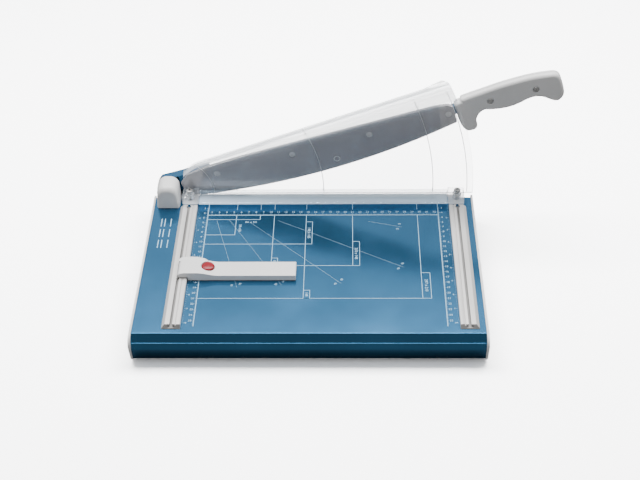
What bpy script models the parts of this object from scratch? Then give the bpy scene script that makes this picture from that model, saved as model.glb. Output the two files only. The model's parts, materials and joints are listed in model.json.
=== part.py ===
"""A lever paper guillotine with a 340 mm cut: a folded steel table, a fixed and a swinging blade, a clear
guard with a press bar, two side rails and a sliding backstop.

Sizes are in millimetres in the cutting frame: x runs along the cut with 0 at the ruler's zero, y is 0 on
the shear plane and grows away from the operator, z is 0 on the table top. At the end settle() moves the root
empty, and with it the whole object, so that the origin is at the bottom centre of its box."""

import math

import bmesh
import bpy
from mathutils import Vector

MM = 0.001
GAP = 0.3  # between pieces that touch

# Table
CUT_LENGTH = 340.0
SHEET = 2.0
SHELL_LEFT, SHELL_RIGHT = -59.4, 371.1
TABLE_FRONT = -283.0
TABLE_BOTTOM = -40.0
FLOOR = -42.5
CAP_THICK = 2.9
CAP_PLUG = 7.0
MEMBER_X = (("left", 42.0), ("right", 270.0))  # left edges of the stiffeners under the table
MEMBER_WIDE = 34.0
MEMBER_WEB = -36.5
FOOT_Y = (("front", -245.0), ("back", -30.0))
FOOT_RADIUS = 10.0

# Fixed blade and shear plane
BLADE_BAR = 5.0
BLADE_BAR_TALL = 30.0
BLADE_BAR_LEFT, BLADE_BAR_RIGHT = -19.0, 352.0
LOWER_SCREWS_X = (20.0, 120.0, 220.0, 320.0)

# Pivot and swinging arm, whose own frame runs along it from the pivot
PIVOT_X, PIVOT_Z = -39.0, 3.0
ARM_ANGLE = math.radians(17.2)
ARM_LOW_Y, ARM_HIGH_Y = 5.0, 19.0
BOSS_RADIUS = 19.0
SHAFT_RADIUS = 7.0
BRACKET_SCREWS_X = (-46.5, -33.5)
BRACKET_SCREWS_Y = -22.5
EDGE_RADIUS = 956.0
EDGE_VERTEX = (190.0, -26.5)
BLADE_END = 403.5
BLADE_SCREW_ALONG = (72.0, 179.9, 287.8, 395.6)
BLADE_SCREW_PERP = 12.3
HANDLE_LOW_Y, HANDLE_HIGH_Y = 5.6, 20.4
HANDLE_SCREWS = ((452.0, 12.4), (512.0, 12.2))

# Clamp and guard
CLAMP_LOW = 5.0
CLAMP_BACK, CLAMP_FRONT = -3.8, -27.5
GUARD_FRONT_Y, GUARD_BACK_Y = -3.5, -1.0
GUARD_LEFT = -20.5
HOOD_RIGHT = 336.0
HOOD_RADIUS = 8.0
HOOD_BACK_Y = 12.0
POST_X = (-11.7, 351.7)
POST_Y = -12.5
GUSSET_X = (20.0, 170.0, 319.0)

# Rails and backstop
RAIL_WIDE = 23.3
RAIL_TALL = 5.0
RAIL_BACK, RAIL_FRONT = -28.2, -265.4
STOP_BACK, STOP_FRONT = -150.0, -176.7
STOP_RIGHT = 137.9
BUTTON_X, BUTTON_Y = 25.7, -161.0
BUTTON_RADIUS = 8.2

BLUE = (0.06, 0.20, 0.33)
GREY = (0.74, 0.74, 0.72)
STEEL = (0.34, 0.36, 0.40)


def clear_scene():
    for old in list(bpy.data.objects):
        bpy.data.objects.remove(old, do_unlink=True)


def material(name, color, roughness, metallic=0.0, alpha=1.0):
    made = bpy.data.materials.new(name)
    made.use_nodes = True
    shader = made.node_tree.nodes["Principled BSDF"]
    shader.inputs["Base Color"].default_value = (*color, 1.0)
    shader.inputs["Roughness"].default_value = roughness
    shader.inputs["Metallic"].default_value = metallic
    shader.inputs["Alpha"].default_value = alpha
    made.diffuse_color = (*color, alpha)
    return made


def empty(name, x, y, z, parent=None):
    made = bpy.data.objects.new(name, None)
    bpy.context.scene.collection.objects.link(made)
    made.location = Vector((x, y, z)) * MM
    if parent:
        made.parent = parent
        made.location -= parent.location
    return made


def place(name, work, look, parent):
    """A closed bmesh in the cutting frame becomes an object that hangs from the given joint empty."""
    bmesh.ops.remove_doubles(work, verts=work.verts, dist=1e-4)
    bmesh.ops.recalc_face_normals(work, faces=work.faces)
    bmesh.ops.scale(work, vec=(MM, MM, MM), verts=work.verts)
    mesh = bpy.data.meshes.new(name)
    work.to_mesh(mesh)
    work.free()
    mesh.shade_smooth()
    mesh.set_sharp_from_angle(angle=math.radians(35))
    made = bpy.data.objects.new(name, mesh)
    bpy.context.scene.collection.objects.link(made)
    if look:
        mesh.materials.append(look)
    if parent:
        made.parent = parent
        made.location = -world_of(parent)
    return made


def world_of(joint):
    """Where an empty stands in the cutting frame, down its chain of parents."""
    spot = joint.location.copy()
    while joint.parent:
        joint = joint.parent
        spot += joint.location
    return spot


def loft(work, rings, closed_ends=True):
    """Joins rings of equal length into one skin, with a flat cap on each end."""
    made = [[work.verts.new(point) for point in ring] for ring in rings]
    count = len(made[0])
    for low, high in zip(made, made[1:]):
        for i in range(count):
            j = (i + 1) % count
            work.faces.new((low[i], low[j], high[j], high[i]))
    if closed_ends:
        work.faces.new(made[0][::-1])
        work.faces.new(made[-1])


def axis_point(axis, first, second, level):
    if axis == "X":
        return (level, first, second)
    if axis == "Y":
        return (first, level, second)
    return (first, second, level)


def prism(name, axis, outline, low, high, look, parent):
    """An outline in the plane across the axis, pushed from low to high along it."""
    work = bmesh.new()
    loft(work, [[axis_point(axis, a, b, level) for a, b in outline] for level in (low, high)])
    return place(name, work, look, parent)


def box(name, corner, far, look, parent):
    outline = [(corner[0], corner[1]), (far[0], corner[1]), (far[0], far[1]), (corner[0], far[1])]
    return prism(name, "Z", outline, corner[2], far[2], look, parent)


def circle(x, y, radius, sides):
    angles = [2 * math.pi * i / sides for i in range(sides)]
    return [(x + radius * math.cos(a), y + radius * math.sin(a)) for a in angles]


def turned(name, axis, center, steps, sides, look, parent):
    """A stack of discs: steps is a list of (level along the axis, radius), from one end to the other."""
    work = bmesh.new()
    rings = []
    for level, radius in steps:
        points = circle(center[0], center[1], radius, sides)
        rings.append([axis_point(axis, a, b, level) for a, b in points])
    loft(work, rings)
    return place(name, work, look, parent)


def ring(name, axis, center, inner, outer, low, high, sides, look, parent):
    """A washer or bush with a round hole."""
    work = bmesh.new()
    loops = []
    for radius, level in ((inner, low), (outer, low), (outer, high), (inner, high), (inner, low)):
        points = circle(center[0], center[1], radius, sides)
        loops.append([axis_point(axis, a, b, level) for a, b in points])
    loft(work, loops, closed_ends=False)
    return place(name, work, look, parent)


def boolean(target, other, operation):
    other.hide_render = True
    other.display_type = "WIRE"
    change = target.modifiers.new(other.name, "BOOLEAN")
    change.operation = operation
    change.solver = "EXACT"
    change.object = other
    return target


def cut_round(target, name, axis, center, radius, low, high, sides=16):
    cutter = turned(name, axis, center, [(low, radius), (high, radius)], sides, None, target.parent)
    boolean(target, cutter, "DIFFERENCE")


def cut_box(target, name, corner, far):
    boolean(target, box(name, corner, far, None, target.parent), "DIFFERENCE")


def fillet(points, radius, steps=3):
    """The outline with every corner rounded, by a short arc through a quadratic curve."""
    rounded = []
    count = len(points)
    for i, corner in enumerate(points):
        here = Vector(corner)
        before = Vector(points[i - 1]) - here
        after = Vector(points[(i + 1) % count]) - here
        reach = min(radius, before.length * 0.45, after.length * 0.45)
        start = here + before.normalized() * reach
        end = here + after.normalized() * reach
        for step in range(steps + 1):
            t = step / steps
            spot = start * (1 - t) ** 2 + here * 2 * t * (1 - t) + end * t**2
            rounded.append((spot.x, spot.y))
    return rounded


def smooth_loop(points, steps):
    """A closed Catmull-Rom curve through the points."""
    found = []
    count = len(points)
    for i in range(count):
        p0, p1, p2, p3 = (Vector(points[(i + k) % count]) for k in (-1, 0, 1, 2))
        for step in range(steps):
            t = step / steps
            square = (2 * p0 - 5 * p1 + 4 * p2 - p3) * t**2
            cube = (3 * p1 - p0 - 3 * p2 + p3) * t**3
            spot = 0.5 * (2 * p1 + (p2 - p0) * t + square + cube)
            found.append((spot.x, spot.y))
    return found


def inset(points, distance):
    """The outline moved inwards, for an outline that runs anticlockwise."""
    moved = []
    count = len(points)
    for i, corner in enumerate(points):
        before = (Vector(corner) - Vector(points[i - 1])).normalized()
        after = (Vector(points[(i + 1) % count]) - Vector(corner)).normalized()
        normal = Vector((-(before + after).y, (before + after).x)).normalized()
        stretch = max(0.5, normal.dot(Vector((-before.y, before.x))))
        moved.append(tuple(Vector(corner) + normal * distance / stretch))
    return moved


def anticlockwise(points):
    area = sum(a[0] * b[1] - b[0] * a[1] for a, b in zip(points, points[1:] + points[:1]))
    return points if area > 0 else points[::-1]


def arm_point(along, perp):
    """A point of the arm's own frame as (x, z)."""
    return (
        PIVOT_X + along * math.cos(ARM_ANGLE) - perp * math.sin(ARM_ANGLE),
        PIVOT_Z + along * math.sin(ARM_ANGLE) + perp * math.cos(ARM_ANGLE),
    )


def coil(name, center, radius, wire, low, high, turns, look, parent):
    """A compression spring around a vertical axis."""
    per_turn, sides = 10, 5
    work = bmesh.new()
    rings = []
    count = turns * per_turn
    for i in range(count + 1):
        angle = 2 * math.pi * i / per_turn
        level = low + wire + (high - low - 2 * wire) * i / count
        ring_points = []
        for k in range(sides):
            around = 2 * math.pi * k / sides
            reach = radius + wire * math.cos(around)
            ring_points.append(
                (
                    center[0] + reach * math.cos(angle),
                    center[1] + reach * math.sin(angle),
                    level + wire * math.sin(around),
                )
            )
        rings.append(ring_points)
    loft(work, rings)
    return place(name, work, look, parent)


def shell_outline():
    """The folded table in the (y, z) plane: back flange, top, two front bends and a return lip."""
    back = -BLADE_BAR - 2 * GAP
    outer = [
        (back, -31.0),
        (back, 0.0),
        (-272.0, 0.0),
        (-280.5, -8.3),
        (TABLE_FRONT, -17.0),
        (-279.8, -36.0),
        (-262.0, -36.0),
    ]
    inner = [
        (-262.0, -36.0 + SHEET),
        (-277.6, -36.0 + SHEET),
        (TABLE_FRONT + SHEET, -17.2),
        (-278.7, -9.3),
        (-271.2, -SHEET),
        (back - SHEET, -SHEET),
        (back - SHEET, -31.0),
    ]
    return outer + inner


def cap_outline():
    """The end cap's side view, a little larger than the folded table."""
    return [
        (-0.5, 0.4),
        (-274.0, 0.4),
        (-280.0, -1.2),
        (-284.4, -4.2),
        (-286.4, -8.6),
        (-286.0, -14.0),
        (-281.2, -34.0),
        (-278.5, -38.6),
        (-274.0, TABLE_BOTTOM),
        (-6.0, TABLE_BOTTOM),
        (-1.5, -38.0),
        (-0.5, -34.0),
    ]


def plug_outline(inward):
    """The inside of the folded table, moved inwards by the given amount."""
    low, back = -36.0 + SHEET + inward, -BLADE_BAR - 2 * GAP - SHEET - inward
    return [
        (back, -SHEET - inward),
        (-270.8 + inward, -SHEET - inward),
        (-277.6 + inward, -10.0),
        (TABLE_FRONT + SHEET + inward, -17.5),
        (-277.4 + inward, low),
        (back, low),
    ]


def table(root, looks):
    shell = prism("table_shell", "X", shell_outline(), SHELL_LEFT, SHELL_RIGHT, looks["blue"], root)
    cut_box(shell, "pivot_notch", (-52.6, -18.6, -60.0), (-25.4, 10.0, 10.0))
    for i, x in enumerate(LOWER_SCREWS_X):
        cut_round(shell, f"shell_blade_hole_{i}", "Y", (x, -14.0), 2.3, -12.0, 5.0)
    for i, x in enumerate(BRACKET_SCREWS_X):
        cut_round(shell, f"shell_bracket_hole_{i}", "Z", (x, BRACKET_SCREWS_Y), 2.1, -12.0, 5.0, 12)

    for side, plate_x, plug_x in (
        ("left", SHELL_LEFT - CAP_THICK - 0.2, SHELL_LEFT - 0.2),
        ("right", SHELL_RIGHT + 0.2, SHELL_RIGHT + 0.2 - CAP_PLUG),
    ):
        outline = fillet(cap_outline(), 1.5, 2)
        cap = prism(f"end_cap_{side}", "X", outline, plate_x, plate_x + CAP_THICK, looks["grey"], root)
        plug_end = plug_x + CAP_PLUG + 0.5
        plug = prism(f"cap_plug_{side}", "X", plug_outline(GAP), plug_x - 0.5, plug_end, None, root)
        boolean(cap, plug, "UNION")
        hollow = prism(f"cap_hollow_{side}", "X", plug_outline(2.6), SHELL_LEFT, SHELL_RIGHT, None, root)
        boolean(cap, hollow, "DIFFERENCE")

    for side, x in MEMBER_X:
        cross_member(side, x, root, looks)


def cross_member(side, x, root, looks):
    """A channel under the table with a rubber foot and its screw at each end."""
    far = x + MEMBER_WIDE
    top, web, floor = -2.4, MEMBER_WEB, MEMBER_WEB + SHEET
    outline = [(x, top), (x, web), (far, web), (far, top), (far - SHEET, top)]
    outline += [(far - SHEET, floor), (x + SHEET, floor), (x + SHEET, top)]
    member = prism(f"cross_member_{side}", "Y", outline, -261.5, -11.5, looks["zinc"], root)
    for end, y in FOOT_Y:
        middle = (x + MEMBER_WIDE / 2, y)
        foot = [(FLOOR, FOOT_RADIUS - 1.0), (TABLE_BOTTOM, FOOT_RADIUS), (web - GAP, FOOT_RADIUS)]
        rubber = turned(f"foot_{end}_{side}", "Z", middle, foot, 24, looks["rubber"], root)
        cut_round(rubber, f"foot_bore_{end}_{side}", "Z", middle, 2.4, FLOOR - 5, web + 5, 12)
        cut_round(rubber, f"foot_recess_{end}_{side}", "Z", middle, 4.6, FLOOR - 5, -39.6, 12)
        cut_round(member, f"member_hole_{end}_{side}", "Z", middle, 2.1, web - 5, web + 5, 12)
        steps = [(-41.4, 4.0), (-39.9, 4.0), (-39.9, 1.8), (-31.0, 1.8)]
        turned(f"foot_screw_{end}_{side}", "Z", middle, steps, 12, looks["zinc"], root)


def fixed_blade(root, looks):
    face = -0.15
    bar = box(
        "lower_blade",
        (BLADE_BAR_LEFT, face - BLADE_BAR, -BLADE_BAR_TALL),
        (BLADE_BAR_RIGHT, face, 0.0),
        looks["steel"],
        root,
    )
    for i, x in enumerate(LOWER_SCREWS_X):
        cut_round(bar, f"bar_hole_{i}", "Y", (x, -14.0), 2.3, -12.0, -1.6)
        steps = [(-11.0, 3.8), (-7.9, 3.8), (-7.9, 2.0), (-2.0, 2.0)]
        turned(f"lower_blade_screw_{i + 1}", "Y", (x, -14.0), steps, 12, looks["zinc"], root)


def pivot(root, looks):
    bracket = box("pivot_bracket", (-51.2, -18.0, -26.0), (-29.0, -2.6, 14.0), looks["iron"], root)
    flange = box("bracket_flange", (-51.2, -26.6, 0.35), (-29.0, -17.0, 3.6), None, root)
    boolean(bracket, flange, "UNION")
    cut_round(bracket, "shaft_seat", "Y", (PIVOT_X, PIVOT_Z), SHAFT_RADIUS + GAP, -15.3, 5.0, 24)
    for i, x in enumerate(BRACKET_SCREWS_X):
        cut_round(bracket, f"flange_hole_{i}", "Z", (x, BRACKET_SCREWS_Y), 2.1, -5.0, 8.0, 12)
        steps = [(-9.0, 1.8), (3.9, 1.8), (3.9, 3.4), (6.4, 3.0)]
        turned(f"bracket_screw_{i + 1}", "Z", (x, BRACKET_SCREWS_Y), steps, 12, looks["zinc"], root)

    shaft = [(-15.0, SHAFT_RADIUS), (29.0, SHAFT_RADIUS), (30.0, SHAFT_RADIUS - 1.0)]
    turned("pivot_shaft", "Y", (PIVOT_X, PIVOT_Z), shaft, 24, looks["zinc"], root)
    seat = SHAFT_RADIUS + GAP
    center = (PIVOT_X, PIVOT_Z)
    ring("thrust_washer", "Y", center, seat, 12.5, -2.3, -0.9, 24, looks["bronze"], root)
    ring("spring_washer", "Y", center, seat, 12.5, 19.9, 21.4, 24, looks["zinc"], root)
    nut_steps = [(21.7, 10.2), (22.4, 11.0), (28.0, 11.0), (28.7, 10.2)]
    nut = turned("pivot_nut", "Y", center, nut_steps, 6, looks["zinc"], root)
    cut_round(nut, "nut_bore", "Y", center, seat, 15.0, 40.0, 24)

    pivot_cover(root, looks)


def cover_outline(side_in, top):
    """The cover's front view at one depth: straight sides that lean in and a round top."""
    half = 15.8 - side_in
    lean = 1.4
    base = [(half, 0.35), (half - lean, top - 12.0)]
    arc = []
    for step in range(1, 8):
        angle = math.radians(90 * step / 8)
        arc.append(((half - lean) - 12.0 * (1 - math.cos(angle)), top - 12.0 + 12.0 * math.sin(angle)))
    right = base + arc
    left = [(-a, b) for a, b in reversed(right)]
    return [(-40.2 + a, b) for a, b in right + left]


def pivot_cover(root, looks):
    work = bmesh.new()
    levels = ((-0.8, 1.2, 33.0), (-2.5, 0.3, 34.0), (-8.0, 0.0, 34.4), (-20.0, 0.0, 33.4))
    levels += ((-25.0, 0.3, 31.8), (-28.0, 1.0, 29.8), (-29.4, 2.4, 27.4))
    loft(work, [[(x, y, z) for x, z in cover_outline(side, top)] for y, side, top in levels])
    cover = place("pivot_cover", work, looks["grey"], root)
    wall = 1.5
    hollow = bmesh.new()
    inside = ((3.0, 32.6), (-20.0, 32.4), (-27.4, 28.4))
    loft(hollow, [[(x, y, z - wall) for x, z in cover_outline(1.7, top)] for y, top in inside])
    cutter = place("cover_hollow", hollow, None, root)
    boolean(cover, cutter, "DIFFERENCE")


def blade_outline():
    """The swinging blade in the arm's frame: a bowed edge below and a straight back."""
    edge = []
    count = 20
    first = 20.0
    for i in range(count + 1):
        along = first + (BLADE_END - first) * i / count
        edge.append((along, EDGE_VERTEX[1] + (along - EDGE_VERTEX[0]) ** 2 / (2 * EDGE_RADIUS)))
    top = [(BLADE_END, 22.0), (398.0, 26.5), (380.0, 29.0), (110.0, 29.0)]
    return edge + top + [(60.0, 26.6), (32.0, 22.0), (19.0, 12.0)]


def arm_outline():
    """The carrier in the arm's frame: a round boss, a beam that tapers and a tang for the handle."""
    around = [math.radians(a) for a in range(200, 301, 20)]
    boss = [(-7.0, 21.5), (-13.0, 17.0), (-18.0, 10.0), (-19.5, 2.0)]
    boss += [(BOSS_RADIUS * math.cos(a), BOSS_RADIUS * math.sin(a)) for a in around]
    below = [(32.0, -8.0), (300.0, -3.0), (400.0, 3.0), (403.0, 3.0)]
    above = [(403.0, 20.0), (396.0, 22.0), (60.0, 22.0), (24.0, 21.3)]
    return boss + below + above


def handle_outline():
    points = [
        (405.5, 20.0),
        (414.5, 22.6),
        (417.0, 26.0),
        (442.0, 28.6),
        (467.0, 31.0),
        (489.0, 31.8),
        (510.0, 31.6),
        (531.0, 29.0),
        (541.5, 26.0),
        (545.6, 18.0),
        (545.8, -5.0),
        (539.0, -13.8),
        (532.0, -14.2),
        (525.0, -9.6),
        (518.0, -4.0),
        (510.0, -0.8),
        (500.0, -0.9),
        (489.0, -3.7),
        (477.0, -5.8),
        (463.0, -5.4),
        (450.0, -3.0),
        (442.0, -0.9),
        (435.0, -3.4),
        (429.5, -9.5),
        (427.0, -16.0),
        (426.6, -23.0),
        (422.0, -27.0),
        (412.0, -26.0),
        (407.0, -17.0),
        (405.2, -5.0),
        (405.0, 8.0),
    ]
    return anticlockwise(smooth_loop(points, 2))


def handle_shell(name, levels, hinge, looks):
    """One half of the grip: levels is a list of (y, inset) from one face to the other."""
    outline = handle_outline()
    work = bmesh.new()
    rings = []
    for y, distance in levels:
        rings.append([(x, y, z) for x, z in (arm_point(a, p) for a, p in inset(outline, distance))])
    loft(work, rings)
    return place(name, work, looks["grey"], hinge)


def arm_outlined(points):
    return [arm_point(along, perp) for along, perp in points]


def slope_back(arm, hinge):
    """Cuts the beam's top down towards its back, so that the blade hides the beam from in front."""
    near, far = ARM_LOW_Y + 0.5, ARM_HIGH_Y + 0.5
    section = [(near, 22.3), (far, 11.3), (far, 40.0), (near, 40.0)]
    rings = []
    for along in (62.0, 410.0):
        spots = [(y, arm_point(along, perp)) for y, perp in section]
        rings.append([(x, y, z) for y, (x, z) in spots])
    work = bmesh.new()
    loft(work, rings)
    boolean(arm, place("beam_slope", work, None, hinge), "DIFFERENCE")


def swinging_arm(hinge, looks):
    arm = prism("blade_arm", "Y", arm_outlined(arm_outline()), ARM_LOW_Y, ARM_HIGH_Y, looks["blue"], hinge)
    slope_back(arm, hinge)
    center = (PIVOT_X, PIVOT_Z)
    spigot_steps = [(-0.5, 13.0), (ARM_LOW_Y + 1.0, 13.0)]
    boolean(arm, turned("arm_spigot", "Y", center, spigot_steps, 24, None, hinge), "UNION")
    tang = [(398.0, 4.0), (398.0, 16.5), (523.0, 16.5), (523.0, 2.6), (440.0, 2.6)]
    boolean(arm, prism("arm_tang", "Y", arm_outlined(tang), 9.5, 16.5, None, hinge), "UNION")
    pocket = [(45.0, 0.0), (45.0, 9.5), (385.0, 9.5), (385.0, 6.0), (300.0, 3.0)]
    boolean(arm, prism("arm_recess", "Y", arm_outlined(pocket), 16.0, 30.0, None, hinge), "DIFFERENCE")
    bush_seat = SHAFT_RADIUS + 2.5
    cut_round(arm, "arm_bore", "Y", center, bush_seat, -10.0, 40.0, 24)
    shaft_seat = SHAFT_RADIUS + GAP
    ring("pivot_bush", "Y", center, shaft_seat, bush_seat - GAP, -0.5, 19.4, 24, looks["bronze"], hinge)

    blade = prism("upper_blade", "Y", arm_outlined(blade_outline()), 0.15, 4.6, looks["steel"], hinge)
    for i, along in enumerate(BLADE_SCREW_ALONG):
        spot = arm_point(along, BLADE_SCREW_PERP)
        cut_round(blade, f"blade_hole_{i}", "Y", spot, 2.8, -5.0, 10.0, 12)
        cut_round(blade, f"blade_sink_{i}", "Y", spot, 4.6, -5.0, 2.4, 12)
        cut_round(arm, f"arm_hole_{i}", "Y", spot, 2.8, -5.0, 10.0, 12)
        steps = [(0.3, 4.3), (2.1, 4.3), (2.1, 2.5), (9.7, 2.5)]
        turned(f"blade_screw_{i + 1}", "Y", spot, steps, 12, looks["zinc"], hinge)
    grip(arm, hinge, looks)


def grip(arm, hinge, looks):
    """Two moulded halves around the arm's tang, held by two screws."""
    middle = (HANDLE_LOW_Y + HANDLE_HIGH_Y) / 2
    front = [(HANDLE_LOW_Y, 2.6), (HANDLE_LOW_Y + 1.2, 1.0), (HANDLE_LOW_Y + 3.0, 0.2)]
    front += [(middle - 3.0, 0.0), (middle - GAP / 2, 0.2)]
    rear = [(2 * middle - y, distance) for y, distance in reversed(front)]
    room = arm_outlined([(395.0, 2.0), (395.0, 17.1), (523.6, 17.1), (523.6, 2.0)])
    screws = arm_outlined(HANDLE_SCREWS)
    for side, levels in (("front", front), ("rear", rear)):
        shell = handle_shell(f"handle_shell_{side}", levels, hinge, looks)
        boolean(shell, prism(f"tang_room_{side}", "Y", room, 9.2, 16.8, None, hinge), "DIFFERENCE")
        for i, spot in enumerate(screws):
            cut_round(shell, f"grip_hole_{side}_{i}", "Y", spot, 2.4, -5.0, 19.0, 12)
            if side == "front":
                cut_round(shell, f"grip_sink_{i}", "Y", spot, 4.2, -5.0, 8.1, 16)
    for i, spot in enumerate(screws):
        cut_round(arm, f"tang_hole_{i}", "Y", spot, 2.4, 5.0, 22.0, 12)
        steps = [(6.2, 3.7), (7.8, 3.7), (7.8, 2.1), (18.6, 2.1)]
        turned(f"handle_screw_{i + 1}", "Y", spot, steps, 16, looks["zinc"], hinge)


def hood_top(x):
    """Height of the hood's crown above the table along the cut."""
    line = 66.0 + 0.382 * (x - 45.0)
    if x >= 2.0:
        return line
    fall = (2.0 - x) / (2.0 - GUARD_LEFT)
    return line - 6.5 * fall**2


def guard(slide, looks):
    """A clear panel in front of the blade whose top edge folds back over it."""
    columns = [GUARD_LEFT, -17.0, -13.0, -7.0, 2.0, 80.0, 160.0, 240.0, 300.0, HOOD_RIGHT]
    thick = GUARD_BACK_Y - GUARD_FRONT_Y
    arc_steps = 4
    work = bmesh.new()
    rings = []
    for x in columns:
        crown = hood_top(x)
        start = crown - HOOD_RADIUS
        middle_y = GUARD_FRONT_Y + HOOD_RADIUS
        section = [(GUARD_FRONT_Y, CLAMP_LOW)]
        for step in range(arc_steps + 1):
            angle = math.radians(90 * step / arc_steps)
            y = middle_y - HOOD_RADIUS * math.cos(angle)
            section.append((y, start + HOOD_RADIUS * math.sin(angle)))
        section += [(HOOD_BACK_Y, crown), (HOOD_BACK_Y, crown - thick)]
        for step in range(arc_steps, -1, -1):
            angle = math.radians(90 * step / arc_steps)
            reach = HOOD_RADIUS - thick
            section.append((middle_y - reach * math.cos(angle), start + reach * math.sin(angle)))
        section.append((GUARD_BACK_Y, CLAMP_LOW))
        rings.append([(x, y, z) for y, z in section])
    loft(work, rings)
    panel = place("blade_guard", work, looks["clear"], slide)

    sector = [(HOOD_RIGHT - 3.0, CLAMP_LOW), (375.0, CLAMP_LOW), (373.2, 40.0), (369.5, 76.0)]
    sector += [(363.0, 100.0), (355.5, 124.0), (348.0, 150.0), (342.0, 163.0), (HOOD_RIGHT - 3.0, 168.0)]
    wing = prism("guard_wing", "Y", sector, GUARD_FRONT_Y, GUARD_BACK_Y, None, slide)
    boolean(panel, wing, "UNION")


def clamp(slide, looks):
    strip_top = CLAMP_LOW + 2.5
    profile = [
        (CLAMP_BACK, CLAMP_LOW),
        (CLAMP_BACK, 12.0),
        (CLAMP_BACK - 2.2, 12.0),
        (CLAMP_BACK - 2.8, strip_top + 1.0),
        (CLAMP_BACK - 4.0, strip_top),
        (CLAMP_FRONT + 0.6, strip_top),
        (CLAMP_FRONT, strip_top - 0.6),
        (CLAMP_FRONT, CLAMP_LOW),
    ]
    bar = prism("clamp_bar", "X", profile, 1.4, CUT_LENGTH - 1.4, looks["clear"], slide)
    gusset = [(CLAMP_BACK - 0.4, strip_top - 1.0), (CLAMP_BACK - 0.4, 15.5)]
    gusset += [(CLAMP_BACK - 2.0, 15.5), (CLAMP_BACK - 12.0, strip_top - 1.0)]
    for i, x in enumerate(GUSSET_X):
        rib = prism(f"gusset_{i}", "X", gusset, x - 0.8, x + 0.8, None, slide)
        boolean(bar, rib, "UNION")

    for side, x in zip(("left", "right"), POST_X):
        low_x, high_x = x - 9.2, x + 12.6
        if side == "right":
            low_x, high_x = x - 12.6, x + 9.2
        near = [(low_x, CLAMP_FRONT), (high_x, CLAMP_FRONT)]
        plan = fillet(near + [(high_x, CLAMP_BACK), (low_x, CLAMP_BACK)], 2.0, 2)
        block = prism(f"clamp_block_{side}", "Z", plan, CLAMP_LOW, 15.5, looks["clear"], slide)
        cut_round(block, f"block_bore_{side}", "Z", (x, POST_Y), 2.9, 0.0, 30.0, 16)
        cut_round(block, f"block_pocket_{side}", "Z", (x, POST_Y), 6.0, 0.0, 12.6, 16)


def posts(root, looks):
    """The clamp's guide screws with their springs stand on the table."""
    for side, x in zip(("left", "right"), POST_X):
        steps = [(0.3, 2.4), (15.9, 2.4), (15.9, 4.6), (18.2, 4.2), (18.8, 3.2)]
        turned(f"guide_screw_{side}", "Z", (x, POST_Y), steps, 16, looks["zinc"], root)
        coil(f"clamp_spring_{side}", (x, POST_Y), 4.4, 0.6, 0.35, 12.3, 4, looks["zinc"], root)


def rail_outline(zero, out):
    """One rail in the (x, z) plane; zero is its inner edge, out is -1 on the left and +1 on the right."""
    low = 0.3
    shape = [(0.0, low), (0.0, 4.2), (0.8, RAIL_TALL), (10.0, RAIL_TALL), (10.0, 3.5)]
    shape += [(7.8, 3.5), (7.8, 1.5), (15.4, 1.5), (15.4, 3.5), (13.2, 3.5), (13.2, RAIL_TALL)]
    shape += [(19.2, RAIL_TALL), (RAIL_WIDE, 1.4), (RAIL_WIDE, low)]
    return [(zero + out * a, b) for a, b in shape]


def rails(root, looks):
    """Each rail's front end slopes back as it rises."""
    for side, zero, out in (("left", 0.0, -1.0), ("right", CUT_LENGTH, 1.0)):
        outline = rail_outline(zero, out)
        work = bmesh.new()
        front = [(x, RAIL_FRONT + 0.9 * (z - 0.3), z) for x, z in outline]
        loft(work, [front, [(x, RAIL_BACK, z) for x, z in outline]])
        place(f"guide_rail_{side}", work, looks["grey"], root)


def backstop(slide, button_slide, looks):
    profile = [
        (0.7, 0.5),
        (STOP_RIGHT, 0.5),
        (STOP_RIGHT, 7.6),
        (STOP_RIGHT - 0.7, 8.3),
        (38.0, 8.3),
        (31.0, 9.2),
        (22.0, 11.6),
        (14.0, 12.6),
        (-4.0, 12.6),
        (-9.5, 11.6),
        (-12.0, 9.0),
        (-12.0, RAIL_TALL + 0.5),
        (0.7, RAIL_TALL + 0.5),
    ]
    arm = prism("backstop_arm", "Y", profile, STOP_FRONT, STOP_BACK, looks["grey"], slide)
    head = [(-12.0, -152.0), (20.0, -152.0), (26.0, -151.0), (20.0, -146.5)]
    head += [(10.0, -143.6), (0.0, -143.2), (-9.0, -144.5), (-12.0, -147.5)]
    bulge = prism("head_bulge", "Z", head, RAIL_TALL + 0.5, 11.4, None, slide)
    boolean(arm, bulge, "UNION")
    middle = (BUTTON_X, BUTTON_Y)
    cut_round(arm, "button_well", "Z", middle, BUTTON_RADIUS + 0.6, 1.6, 30.0, 24)

    shoe = [(-15.0, 1.9), (-8.2, 1.9), (-8.2, 3.1), (-10.6, 3.1)]
    shoe += [(-10.6, 5.2), (-12.6, 5.2), (-12.6, 3.1), (-15.0, 3.1)]
    prism("slide_shoe", "Y", shoe, STOP_FRONT + 2.0, STOP_BACK + 3.0, looks["zinc"], slide)
    coil("button_spring", middle, 4.5, 0.5, 1.9, 5.9, 2, looks["zinc"], slide)
    steps = [(6.2, BUTTON_RADIUS), (11.4, BUTTON_RADIUS)]
    steps += [(12.3, BUTTON_RADIUS - 1.0), (12.8, BUTTON_RADIUS - 3.4)]
    turned("release_button", "Z", middle, steps, 24, looks["red"], button_slide)


def settle(root):
    """Moves the root so that the finished object stands on z = 0 with its box centred on x and y."""
    bpy.context.view_layer.update()
    graph = bpy.context.evaluated_depsgraph_get()
    corners = []
    for item in bpy.context.scene.objects:
        if item.type == "MESH" and not item.hide_render:
            evaluated = item.evaluated_get(graph)
            corners += [evaluated.matrix_world @ vertex.co for vertex in evaluated.data.vertices]
    low = [min(c[axis] for c in corners) for axis in range(3)]
    high = [max(c[axis] for c in corners) for axis in range(3)]
    root.location = (-(low[0] + high[0]) / 2, -(low[1] + high[1]) / 2, -low[2])


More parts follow.
